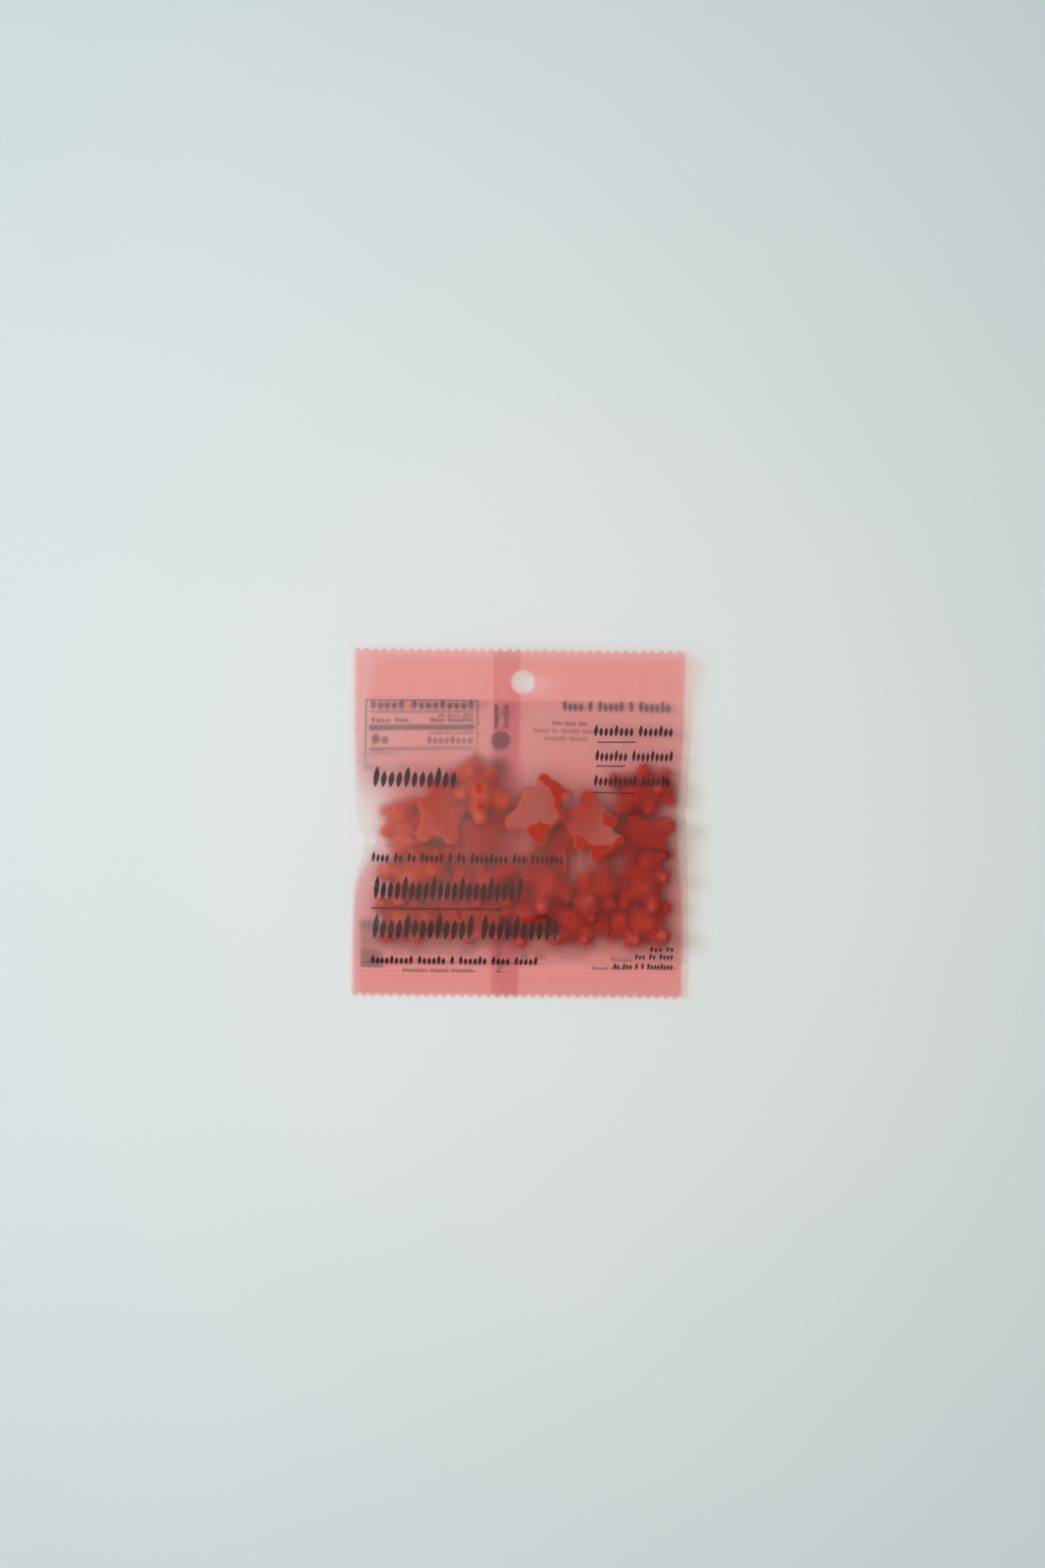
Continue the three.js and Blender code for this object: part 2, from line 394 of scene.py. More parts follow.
# %% One gummy bear
BEAR_LUMPS = [
    {"place": (0, -0.8, 4.0), "radii": (6.8, 7.8, 4.2)},
    {"place": (0, -2.4, 5.6), "radii": (5.2, 5.2, 3.3)},
    {"place": (0, -0.6, 2.9), "radii": (8.2, 9.2, 2.6)},
    {"place": (0, 7.6, 4.2), "radii": (6.0, 5.3, 4.2)},
    {"place": (0, 6.7, 7.6), "radii": (2.6, 2.1, 1.5)},
    {"place": (0, 7.2, 8.8), "radii": (0.9, 0.7, 0.6)},
]
BEAR_PAIRS = [
    {"place": (5.0, 10.4, 3.9), "radii": (2.6, 2.5, 2.9), "limb": None},
    {"place": (5.4, 3.0, 4.1), "radii": (3.0, 2.9, 3.6), "limb": None},
    {"place": (7.0, 2.8, 4.2), "radii": (3.0, 2.8, 3.4), "limb": "arm"},
    {"place": (7.6, 1.8, 6.1), "radii": (2.2, 2.1, 2.0), "limb": "arm"},
    {"place": (4.2, -6.2, 4.0), "radii": (3.9, 3.8, 3.9), "limb": None},
    {"place": (5.5, -8.8, 4.2), "radii": (3.3, 3.4, 3.8), "limb": "leg"},
    {"place": (5.9, -9.4, 6.4), "radii": (2.7, 2.7, 2.0), "limb": "leg"},
]
BEAR_HEIGHT = 9.0
BEAR_SIZE = 0.94
BACK_CUT = 2.0
STRETCH = 1.25
BEAR_VOXEL = 0.6
SOFTENING = 5
BACK_START = 0.25
BACK_DOME = 0.004
BACK_EDGE = 0.6
FACE_LEVEL = 5
EYES = [(-1.9, 9.2), (1.9, 9.2)]
EYE_RADIUS = 0.8
EYE_DEPTH = 0.55


def lump(place, radii, rings=10, sides=16):
    """A closed ellipsoid."""
    points = [(0, 0, -1)]
    for ring in range(1, rings):
        lean = math.pi * ring / rings
        for side in range(sides):
            turn = 2 * math.pi * side / sides
            points.append((math.sin(lean) * math.cos(turn), math.sin(lean) * math.sin(turn), -math.cos(lean)))
    points.append((0, 0, 1))
    faces = []
    for side in range(sides):
        beside = (side + 1) % sides
        faces.append((0, 1 + beside, 1 + side))
        for ring in range(rings - 2):
            low, high = 1 + ring * sides, 1 + (ring + 1) * sides
            faces.append((low + side, low + beside, high + beside, high + side))
        faces.append((1 + (rings - 2) * sides + side, 1 + (rings - 2) * sides + beside, len(points) - 1))
    return np.array(points) * radii + place, faces


def bear_lumps(draw):
    """The lumps of one bear, with its arms and legs a little higher or lower than another's."""
    lumps = list(BEAR_LUMPS)
    for pair in BEAR_PAIRS:
        for side in (LEFT, RIGHT):
            x, y, z = pair["place"]
            if pair["limb"]:
                y += draw.uniform(-0.9, 0.9)
                x += draw.uniform(-0.5, 0.5)
            lumps.append({"place": (side * x, y, z), "radii": pair["radii"]})
    return lumps


def one_skin(points, faces):
    """The points and faces of one smooth skin round all the lumps."""
    mesh = bpy.data.meshes.new("bear_lumps")
    mesh.from_pydata([tuple(point) for point in points], [], faces)
    shape = bpy.data.objects.new("bear_lumps", mesh)
    bpy.context.collection.objects.link(shape)
    remesh = shape.modifiers.new("skin", "REMESH")
    remesh.mode = "VOXEL"
    remesh.voxel_size = BEAR_VOXEL
    soften = shape.modifiers.new("soften", "SMOOTH")
    soften.factor = 0.5
    soften.iterations = SOFTENING
    cast = shape.evaluated_get(bpy.context.evaluated_depsgraph_get()).to_mesh()
    points = np.empty(len(cast.vertices) * 3)
    cast.vertices.foreach_get("co", points)
    points = points.reshape(-1, 3)
    faces = [tuple(face.vertices) for face in cast.polygons]
    shape.to_mesh_clear()
    bpy.data.objects.remove(shape)
    bpy.data.meshes.remove(mesh)
    return points, faces


def cast_bear(draw):
    """The points and faces of one bear, in millimetres, and where its back is flat."""
    points, faces = [], []
    for part in bear_lumps(draw):
        more_points, more_faces = lump(part["place"], part["radii"])
        more_points[:, 2] = np.maximum(more_points[:, 2] - BACK_CUT, 0) * STRETCH
        start = len(points)
        points.extend(more_points)
        faces.extend([tuple(start + corner for corner in face) for face in more_faces])
    points, faces = one_skin(points, faces)
    back = BACK_START + BACK_DOME * (points[:, :2] ** 2).sum(1)
    points[:, 2] = np.maximum(points[:, 2], back)
    flat_back = 1 - smooth((points[:, 2] - back) / BACK_EDGE)
    for eye in EYES:
        near = np.exp(-(((points[:, 0] - eye[0]) ** 2 + (points[:, 1] - eye[1]) ** 2) / EYE_RADIUS**2))
        points[:, 2] -= EYE_DEPTH * near * (points[:, 2] > FACE_LEVEL)
    return points * (BEAR_SIZE, BEAR_SIZE, 1) - (0, 0, BEAR_HEIGHT / 2), faces, flat_back


sample_points, sample_faces, _ = cast_bear(np.random.default_rng(0))
print("One bear spans", np.round(np.ptp(sample_points, axis=0), 1), "mm,", len(sample_faces), "faces")

# %% [markdown]
# The bears lie as the photograph shows them: two on top with their flat backs against the
# film, the others below, most with the belly up. The list gives where each one should be. To
# keep them from cutting into each other, each bear is stood in for by seven balls, and the
# balls push each other apart while gravity and the film hold them down. The two on top are held
# in their place to the end and keep their turn. A full physics run would also do, but it would
# not keep the places of the photograph.

# %% Where the bears lie
BELLY_UP, BACK_UP = 0, 1
LEFT_ON_TOP = {"low": 5.0, "wets": 1.7, "dusty": 1.0}
RIGHT_ON_TOP = {"low": 2.5, "wets": 1.7, "dusty": 1.0, "tilt": 12, "fade": 9.0}
BEARS = [
    {"x": 6.4, "y": 4.8, "heading": -34, "way": BACK_UP, "top": 14.3, "warmth": 0.6, **LEFT_ON_TOP},
    {"x": 24.7, "y": -1.0, "heading": -143, "way": BACK_UP, "top": 14.2, "warmth": 0.4, **RIGHT_ON_TOP},
    {"x": 14.5, "y": 1.5, "heading": 95, "way": BELLY_UP, "top": 10.6, "warmth": 0.2},
    {"x": -15.0, "y": 12.0, "heading": 38, "way": BELLY_UP, "top": 12.6, "warmth": 0.9},
    {"x": -42.5, "y": -4.1, "heading": 20, "way": BELLY_UP, "top": 11.0, "warmth": 1.0},
    {"x": -38.8, "y": -17.8, "heading": -75, "way": BELLY_UP, "top": 11.6, "warmth": 1.0},
    {"x": -30.5, "y": 2.2, "heading": -10, "way": BACK_UP, "top": 11.4, "warmth": 0.7},
    {"x": -40.5, "y": -33.8, "heading": -84, "way": BELLY_UP, "top": 10.6, "warmth": 0.5},
    {"x": -15.3, "y": -34.9, "heading": 95, "way": BACK_UP, "top": 10.8, "warmth": 0.3},
    {"x": 5.0, "y": -35.0, "heading": 15, "way": BELLY_UP, "top": 11.0, "warmth": 0.2},
    {"x": 22.4, "y": -34.9, "heading": -70, "way": BELLY_UP, "top": 11.2, "warmth": 0.1},
    {"x": 44.2, "y": -34.5, "heading": 85, "way": BELLY_UP, "top": 11.2, "warmth": 0.1},
    {"x": 46.6, "y": 11.3, "heading": -60, "way": BELLY_UP, "top": 11.0, "warmth": 0.1},
    {"x": 43.1, "y": -6.0, "heading": 75, "way": BACK_UP, "top": 11.4, "warmth": 0.0},
    {"x": 46.0, "y": -20.6, "heading": -12, "way": BELLY_UP, "top": 11.4, "warmth": 0.0},
    {"x": 29.1, "y": -22.6, "heading": 130, "way": BELLY_UP, "top": 11.6, "warmth": 0.1},
    {"x": -11.1, "y": -20.9, "heading": 65, "way": BELLY_UP, "top": 11.2, "warmth": 0.3},
    {"x": -18.1, "y": -7.6, "heading": -25, "way": BACK_UP, "top": 11.4, "warmth": 0.3},
    {"x": 9.9, "y": -18.1, "heading": 10, "way": BELLY_UP, "top": 11.6, "warmth": 0.2},
]
BALLS = BEAR_SIZE * np.array(
    [
        (0, 7.8, 0, 4.6),
        (0, 0.8, 0, 4.6),
        (0, -4.0, 0, 4.7),
        (7.6, 2.4, 0.2, 3.0),
        (-7.6, 2.4, 0.2, 3.0),
        (6.2, -8.4, 0.2, 3.6),
        (-6.2, -8.4, 0.2, 3.6),
    ]
)
SETTLE_ROUNDS = 420
SOFTNESS = 0.9
LOOSE_HOLD, FIRM_HOLD = 0.04, 0.3
FIRM_FROM = 12.5
SINKING = 0.06
PUSH_SHARE = 0.5
BALLS_IN_TOUCH = 3
TURN_SHARE = 0.3
BEAR_FLOOR = 0.45
BEAR_ROOM = {"left": -50.8, "right": 53.6, "foot": -43.6, "head": 27.0}


def turned(bear):
    """The starting turn of a bear."""
    heading = Matrix.Rotation(math.radians(bear["heading"]), 3, "Z")
    head_up = Matrix.Rotation(math.radians(bear.get("tilt", 0)), 3, "X")
    flip = Matrix.Rotation(math.pi * bear["way"], 3, "Y")
    return np.array(heading @ head_up @ flip)


def small_turn(spin):
    """The turn about a small spin vector."""
    angle = np.linalg.norm(spin)
    if angle < 1e-9:
        return np.eye(3)
    return np.array(Matrix.Rotation(angle, 3, Vector(spin / angle)))


def pushes_between(balls, radii, owner):
    """How each ball is pushed by the balls of other bears."""
    apart = balls[:, None] - balls[None, :]
    distance = np.linalg.norm(apart, axis=2) + 1e-6
    overlap = np.clip(radii[:, None] + radii[None, :] - distance, 0, None)
    overlap[owner[:, None] == owner[None, :]] = 0
    return (apart / distance[..., None] * overlap[..., None] * 0.5).sum(1)


def pushes_of_bag(balls, radii, floor, ceiling):
    """How each ball is pushed by the table, the film above and the ends of the room."""
    x, y, z = balls.T
    push = np.zeros_like(balls)
    push[:, 0] += np.clip(BEAR_ROOM["left"] + radii - x, 0, None)
    push[:, 0] -= np.clip(x + radii - BEAR_ROOM["right"], 0, None)
    push[:, 1] += np.clip(BEAR_ROOM["foot"] + radii - y, 0, None)
    push[:, 1] -= np.clip(y + radii - BEAR_ROOM["head"], 0, None)
    push[:, 2] += 2 * np.clip(floor + radii - z, 0, None) - np.clip(z + radii - ceiling, 0, None)
    return push


def settle_bears():
    """The middle and the turn of every bear once none cuts into another."""
    count = len(BEARS)
    wanted = np.array([(bear["x"], bear["y"], bear["top"] - BEAR_HEIGHT / 2) for bear in BEARS])
    middles, turns = wanted.copy(), np.array([turned(bear) for bear in BEARS])
    radii = np.tile(BALLS[:, 3], count) * SOFTNESS
    hold = np.array([[LOOSE_HOLD if bear["top"] < FIRM_FROM else FIRM_HOLD] for bear in BEARS])
    on_top = np.array([["low" in bear] for bear in BEARS])
    owner = np.repeat(np.arange(count), len(BALLS))
    ceiling = np.repeat([bear["top"] for bear in BEARS], len(BALLS))
    floor = np.repeat([bear.get("low", BEAR_FLOOR) for bear in BEARS], len(BALLS))
    for step in range(SETTLE_ROUNDS):
        calm = 1 - step / SETTLE_ROUNDS
        arms = np.einsum("bij,kj->bki", turns, BALLS[:, :3])
        balls = (arms + middles[:, None]).reshape(-1, 3)
        push = pushes_between(balls, radii, owner) + pushes_of_bag(balls, radii, floor, ceiling)
        push = push.reshape(count, -1, 3)
        middles += PUSH_SHARE * push.sum(1) / BALLS_IN_TOUCH
        middles[:, :2] += hold * np.maximum(calm, on_top) * (wanted - middles)[:, :2]
        middles[:, 2] -= SINKING * calm
        spins = TURN_SHARE * np.cross(arms, push).sum(1) / (arms**2).sum((1, 2))[:, None]
        for bear in np.flatnonzero(~on_top):
            turns[bear] = small_turn(spins[bear]) @ turns[bear]
    return middles, turns


bear_middles, bear_turns = settle_bears()
strays = [math.dist(middle[:2], (bear["x"], bear["y"])) for middle, bear in zip(bear_middles, BEARS)]
print(f"The bears moved by at most {max(strays):.1f} mm")
middle_heights = bear_middles[:, 2]
print(f"Their middles are between {middle_heights.min():.1f} and {middle_heights.max():.1f} mm up")

# %% [markdown]
# The real bears lie loose, but they have one finish and never move, so all of them go into one piece. Two
# numbers travel with their points: how orange a bear is, which is more towards the left, and where its flat
# back is dusted with starch, which only the two on top show.


# %% Make the heap of bears
WHOLE_BACK = 30.0
FADING = 8


def mesh_piece(name, points, faces, stored=None, sharp=None):
    """A piece from points in millimetres, smooth shaded, with numbers stored on its points."""
    mesh = bpy.data.meshes.new(name)
    mesh.from_pydata((np.asarray(points) * MM).tolist(), [], [tuple(face) for face in faces])
    mesh.polygons.foreach_set("use_smooth", [True] * len(mesh.polygons))
    if sharp:
        mesh.set_sharp_from_angle(angle=math.radians(sharp))
    for key, values in (stored or {}).items():
        layer = mesh.attributes.new(key, "FLOAT", "POINT")
        layer.data.foreach_set("value", np.asarray(values, dtype=np.float32))
    piece = bpy.data.objects.new(name, mesh)
    bpy.context.collection.objects.link(piece)
    return piece


def bear_heap():
    """All bears in their places: points, faces, warmth, dusty backs, and the bear of each face."""
    draw = np.random.default_rng(11)
    points, faces, warmth, backs, owner, start = [], [], [], [], [], 0
    for bear, middle, turn in zip(BEARS, bear_middles, bear_turns):
        cast, cast_faces, flat_back = cast_bear(draw)
        dusty = bear.get("dusty", 0.0) * smooth((cast[:, 1] + bear.get("fade", WHOLE_BACK)) / FADING)
        cast = cast @ turn.T + middle
        points.append(cast + (0, 0, max(0, BEAR_FLOOR - cast[:, 2].min())))
        faces.extend([tuple(start + corner for corner in face) for face in cast_faces])
        warmth.append(np.full(len(cast), bear["warmth"]))
        backs.append(flat_back * dusty)
        owner.extend([len(warmth) - 1] * len(cast_faces))
        start += len(cast)
    return np.concatenate(points), faces, np.concatenate(warmth), np.concatenate(backs), owner


bear_points, bear_faces, bear_warmth, bear_backs, bear_of_face = bear_heap()
gummy_bears = mesh_piece("gummy_bears", bear_points, bear_faces, {"warmth": bear_warmth})
print(f"{len(BEARS)} bears, {2 * len(bear_faces)} triangles, up to {bear_points[:, 2].max():.1f} mm high")

# %% [markdown]
# The film is draped by a short calculation instead of a cloth simulation. A tight skin settles
# where each point is level with its neighbours, is pushed up by the air in the bag, and cannot
# sink into what it rests on. Rays shot down find the tops of the bears, and rays shot up find
# their undersides, which the back of the bag stays below. The film is too stiff to dip between
# two bears, so the tops that it rests on are widened and rounded first. The gap between film
# and bear is kept, because it decides where the film looks wet and clear.


# %% Drape the film
BELOW_ALL, ABOVE_ALL = -5, 60
NO_LIMIT = 1e3
CLEARANCE = 0.03
STIFF_SLOPE = 0.06


def heights_of_bears(web, upwards):
    """The top of the bears under each point of the grid, or their underside, and whose it is."""
    tree = BVHTree.FromPolygons(bear_points.tolist(), bear_faces)
    far, way = (BELOW_ALL, Vector((0, 0, 1))) if upwards else (ABOVE_ALL, Vector((0, 0, -1)))
    found, whose = np.full(web.x.shape, np.nan), np.full(web.x.shape, -1)
    for row in range(web.first, web.last + 1):
        for column in range(web.x.shape[1]):
            hit, _, face, _ = tree.ray_cast(Vector((web.x[row, column], web.y[row, column], far)), way)
            if hit is not None:
                found[row, column] = hit.z
                whose[row, column] = bear_of_face[face]
    return found, whose


def settle_skin(web, edge, load, lowest, highest, rounds=900, haste=1.96):
    """A skin that is fixed at the folds and seals and lies between two limits."""
    skin = edge.copy()
    inner = (slice(web.first + 1, web.last), slice(1, -1))
    row_step = web.rows[web.first + 1] - web.rows[web.first]
    column_step = WIDTH / (len(web.share) - 1)
    pull_x, pull_y = 1 / column_step**2, 1 / row_step**2
    patch = skin[web.first : web.last + 1]
    low, high = lowest[inner], highest[inner]
    odd = np.add.outer(np.arange(low.shape[0]), np.arange(low.shape[1])) % 2 == 1
    for _ in range(rounds):
        for turn in (odd, ~odd):
            beside = pull_x * (patch[1:-1, :-2] + patch[1:-1, 2:])
            beside = beside + pull_y * (patch[:-2, 1:-1] + patch[2:, 1:-1])
            level = (beside + load) / (2 * (pull_x + pull_y))
            here = patch[1:-1, 1:-1]
            moved = np.clip(here + haste * (level - here), low, high)
            patch[1:-1, 1:-1] = np.where(turn, moved, here)
    return skin


def neighbours(field):
    """The field as it is one step further to each of the four sides."""
    edged = np.pad(field, 1, mode="edge")
    return [edged[:-2, 1:-1], edged[2:, 1:-1], edged[1:-1, :-2], edged[1:-1, 2:]]


def softened(field, rounds):
    """The field after some rounds of averaging each point with its neighbours."""
    for _ in range(rounds):
        field = 0.5 * field + 0.125 * sum(neighbours(field))
    return field


def stiff_limit(heights, widen, rounds):
    """What a stiff film can rest on: every top is made wider, and then rounded."""
    for _ in range(widen):
        heights = np.maximum(heights, np.maximum.reduce(neighbours(heights)) - STIFF_SLOPE)
    return softened(heights, rounds)


tops, whose_top = heights_of_bears(front_web, upwards=False)
front_edge = meeting_height(front_web.x, front_web.y) + FILM_PLAY
bare_tops = np.where(np.isnan(tops), 0, tops)
lowest = np.maximum(stiff_limit(bare_tops, widen=5, rounds=14), bare_tops + CLEARANCE)
front_skin = settle_skin(front_web, front_edge, FRONT_PUFF, lowest, np.full(tops.shape, NO_LIMIT))
print(f"The front film rises to {front_skin.max():.1f} mm")

# %% [markdown]
# The flap is the joined edge of the web, folded flat against the left half of the back. The
# back film lies on it, so it stands a little higher there. Elsewhere the film sags onto the
# table under the bears, and it curls up to the seals and the side folds all round.

# %% Settle the back
FLAP_LEFT, FLAP_RIGHT = -10.4, -0.7
FLAP_FILM = 0.16
TABLE_GAP = 0.03
FILM_GAP = 0.05


def flap_lift(across):
    """How much the flap raises the back film, across the width of the bag."""
    inside = smooth((across - FLAP_LEFT + 1) / 1.2) * smooth((FLAP_RIGHT + 0.6 - across) / 0.8)
    return inside * (FLAP_FILM + 2 * TABLE_GAP)


undersides, _ = heights_of_bears(back_web, upwards=True)
back_edge = meeting_height(back_web.x, back_web.y) - FILM_PLAY - FILM
back_floor = TABLE_GAP + FILM_GAP + flap_lift(back_web.across)
highest = np.where(np.isnan(undersides), NO_LIMIT, undersides - FILM - CLEARANCE)
back_skin = settle_skin(back_web, back_edge, -BACK_SAG, back_floor, np.maximum(highest, back_floor))
print(f"The back film lies between {back_skin.min():.2f} and {back_skin.max():.2f} mm")

# %% [markdown]
# Real film never lies perfectly smooth. It gathers beside the seals, puckers where the left
# fold is pinched, and keeps a few faint creases from the machine. Each crease is a soft ridge
# along a line, added on top of the draped skin so that it never cuts into a bear.

# %% Creases
CREASES = [
    {"start": (-60, 25), "end": (-48, 22.5), "width": 0.55, "rise": 0.7},
    {"start": (-59, 19.5), "end": (-46, 18), "width": 0.7, "rise": 0.8},
    {"start": (-56, -4.5), "end": (-44, 6), "width": 0.8, "rise": 1.0},
    {"start": (-55, -6), "end": (-42, -8), "width": 0.7, "rise": 0.8},
    {"start": (-56, -8), "end": (-46, -16), "width": 0.75, "rise": 0.8},
    {"start": (-58, -20), "end": (-49, -24), "width": 0.6, "rise": 0.7},
    {"start": (58.5, 3.6), "end": (49, 1), "width": 0.9, "rise": 0.6},
    {"start": (59, 16), "end": (47, 20), "width": 1.0, "rise": 0.5},
    {"start": (58, -12), "end": (52, -13), "width": 0.9, "rise": 0.5},
    {"start": (-33.2, 62), "end": (-32.5, 26), "width": 0.35, "rise": 0.14},
    {"start": (-34.0, 60), "end": (-33.6, 30), "width": 0.3, "rise": 0.10},
    {"start": (-22, 43.5), "end": (-18, 26), "width": 1.6, "rise": 0.30},
    {"start": (14, 43.5), "end": (12, 24), "width": 1.8, "rise": 0.30},
    {"start": (38, 43.5), "end": (33, 26), "width": 1.5, "rise": 0.30},
    {"start": (5, -50), "end": (3, -43), "width": 1.1, "rise": 0.35},
    {"start": (-28, -50), "end": (-26, -44), "width": 1.2, "rise": 0.30},
    {"start": (34, -50), "end": (35, -44), "width": 1.3, "rise": 0.30},
    {"start": (15, -8), "end": (16, -18), "width": 1.1, "rise": 0.35},
    {"start": (21, -8.5), "end": (21.5, -17), "width": 1.0, "rise": 0.35},
]
GATHERS = [
    {"line": HEADER_LINE, "reach": 5, "length": 1.9, "sway": 1.5, "sway_length": 7.1},
    {"line": FOOT_LINE, "reach": 3.5, "length": 1.5, "sway": 1.2, "sway_length": 5.3},
]
GATHER_RISE = 0.10


def crease(x, y, start, end, width, rise):
    """A soft ridge along a line that fades out at both of its ends."""
    run = np.subtract(end, start)
    share = ((x - start[0]) * run[0] + (y - start[1]) * run[1]) / (run**2).sum()
    beside = np.hypot(x - start[0] - share * run[0], y - start[1] - share * run[1])
    fade = np.sin(np.pi * np.clip(share, 0, 1)) ** 0.7
    return rise * fade * np.exp(-((beside / width) ** 2))


def gathers(x, y, line, reach, length, sway, sway_length):
    """Fine uneven waves that run down from a seal and soon fade."""
    waves = 1 + np.sin(x / length + sway * np.sin(x / sway_length))
    return GATHER_RISE * waves * np.exp(-np.abs(y - line) / reach)


def creases(x, y):
    """All creases, the highest where two cross, and the gathers beside both seals."""
    total = 0 * x
    for one in CREASES:
        total = np.maximum(total, crease(x, y, **one))
    return total + sum(gathers(x, y, **one) for one in GATHERS)


front_creases = creases(front_web.x, front_web.y)
off_the_folds = smooth((HALF_WIDTH - np.abs(front_web.across)) / 2)
front_skin = front_skin + front_creases * off_the_folds
print(f"{len(CREASES)} creases, the front now rises to {front_skin.max():.1f} mm")

# %% [markdown]
# The film's own thickness is real: light bends into it and out of it again, and that is what frosts the view.
# So each sheet is a closed shell a tenth of a millimetre thick, with its saw teeth and its hang hole, and not
# a single surface. Numbers for the finish are stored on its points: the share of ink, which is less where a
# paler film is painted sheen beside the left waist, the haze, the creases, where it lies on a bear and where
# a bear wets it.


# %% Make the sheets of film
SHARP_ANGLE = 50
NO_BEAR = 9
ALL_DRY = -0.5
CREASE_IN_FULL = 0.5
CLOSE_GAP = 1.4
# Round its waist the left margin widens and pales. Part of this is the bare strip that the turned fold shows,
# and part is painted sheen of the window light on the steep fold.
LEFT_MARGIN_AND_SHEEN = {"bare": 0.8, "more": 3.8, "y": -3, "reach": 13}
RIGHT_MARGIN = {"bare": 2.5, "more": 0.9, "y": -2, "reach": 30}
PAINTED_SHEEN_SHARE = 0.85
BASE_HAZE, LEFT_HAZE, HEAD_HAZE, CLOUD_HAZE = 0.22, 0.30, 0.34, 0.10


def closed_sheet(name, upper, lower, quads, stored=None):
    """A closed thin piece between two surfaces that share one pattern of faces."""
    used, renumbered = np.unique(quads, return_inverse=True)
    quads = renumbered.reshape(quads.shape)
    upper, lower, count = upper[used], lower[used], len(used)
    starts, ends = quads.ravel(), np.roll(quads, -1, axis=1).ravel()
    rim = ~np.isin(starts * count + ends, ends * count + starts)
    starts, ends = starts[rim], ends[rim]
    sides = np.stack([ends, starts, starts + count, ends + count], -1)
    faces = np.concatenate([quads, quads[:, ::-1] + count, sides])
    values = {key: np.tile(value.ravel()[used], 2) for key, value in (stored or {}).items()}
    return mesh_piece(name, np.concatenate([upper, lower]), faces.tolist(), values, sharp=SHARP_ANGLE)


def surface_points(web, height):
    return np.stack([web.x, web.y, height], -1).reshape(-1, 3)


DRY_PATCHES = [
    {"x": 4.5, "y": 8.0, "half_across": 6.9, "half_along": 7.6, "heading": 0},
    {"x": -3.2, "y": 0.4, "half_across": 6.2, "half_along": 6.6, "heading": 0},
    {"x": 9.6, "y": 3.2, "half_across": 3.6, "half_along": 3.2, "heading": 0},
    {"x": 21.6, "y": 4.6, "half_across": 7.0, "half_along": 9.6, "heading": 22},
    {"x": 26.0, "y": -2.6, "half_across": 8.2, "half_along": 4.2, "heading": -18},
]
WET_SPOTS = [
    {"x": -15.0, "y": 12.4, "half_across": 1.3, "half_along": 2.0, "heading": 20},
    {"x": -14.6, "y": 6.0, "half_across": 1.2, "half_along": 1.0, "heading": 0},
    {"x": 5.0, "y": -33.4, "half_across": 5.2, "half_along": 1.1, "heading": 6},
    {"x": -21.6, "y": -32.2, "half_across": 0.8, "half_along": 1.8, "heading": 12},
    {"x": 16.8, "y": -33.4, "half_across": 0.9, "half_along": 0.9, "heading": 0},
    {"x": 23.0, "y": -35.0, "half_across": 1.0, "half_along": 1.2, "heading": 0},
    {"x": 39.6, "y": -37.8, "half_across": 1.1, "half_along": 1.2, "heading": 0},
    {"x": 47.4, "y": -37.6, "half_across": 1.7, "half_along": 1.5, "heading": 30},
    {"x": 48.8, "y": -30.2, "half_across": 0.9, "half_along": 0.9, "heading": 0},
    {"x": 49.4, "y": 10.6, "half_across": 1.9, "half_along": 0.9, "heading": 35},
]


def oval(web, x, y, half_across, half_along, heading):
    """1 on the rim of a slightly ragged oval, less inside it and more outside."""
    turn = math.radians(heading)
    dx, dy = web.x - x, web.y - y
    across = (dx * math.cos(turn) + dy * math.sin(turn)) / half_across
    along = (dy * math.cos(turn) - dx * math.sin(turn)) / half_along
    ragged = 0.05 * np.sin(web.x * 1.1 + 0.7 * web.y) + 0.04 * np.sin(web.y * 1.7 - 0.4 * web.x)
    return np.hypot(across, along) + ragged


def gap_below(skin):
    """How far the front film stands off the bear below each of its points."""
    return np.where(np.isnan(tops), NO_BEAR, skin - tops)


def wetness(web, skin):
    """Above one half where a bear wets the film. The flat backs of two bears stay mostly dry."""
    reach = np.array([bear.get("wets", 0.0) for bear in BEARS] + [0.0])[whose_top]
    gap = gap_below(skin)
    wet = np.where(reach > 0, 1 - 0.5 * gap / np.maximum(reach, 0.01), ALL_DRY)
    wet = softened(np.clip(wet, ALL_DRY, 1), rounds=5)
    for patch in DRY_PATCHES:
        wet = np.minimum(wet, 0.5 * oval(web, **patch))
    for spot in WET_SPOTS:
        wet = np.maximum(wet, np.where(gap < NO_BEAR, 1 - 0.5 * oval(web, **spot), ALL_DRY))
    return wet


def closeness(skin):
    """1 where the film lies on a bear, 0 where it stands well over a millimetre off."""
    return softened(smooth(CLOSE_GAP - gap_below(skin)), rounds=2)


def margin(along, bare, more, y, reach):
    """The width of a bare margin, which is wider round one place."""
    return bare + more * np.exp(-(((along - y) / reach) ** 2))


def ink_and_sheen(web):
    """1 where the film carries pink ink, 0 in the bare margins, and less beside the left waist, where a paler
    film is painted sheen of the window light on the steep fold.
    """
    left_margin, right_margin = margin(web.along, **LEFT_MARGIN_AND_SHEEN), margin(web.along, **RIGHT_MARGIN)
    left_share = smooth((web.across + HALF_WIDTH - left_margin) / 1.4 + 0.5)
    right_share = smooth((HALF_WIDTH - right_margin - web.across) / 0.5 + 0.5)
    # Painted sheen: the ink pales beside the left waist, where the window light catches the steep fold.
    painted_sheen = PAINTED_SHEEN_SHARE * np.exp(-(((web.along - 2) / 15) ** 2)) * smooth((-43 - web.across) / 9)
    return left_share * (1 - painted_sheen) * right_share


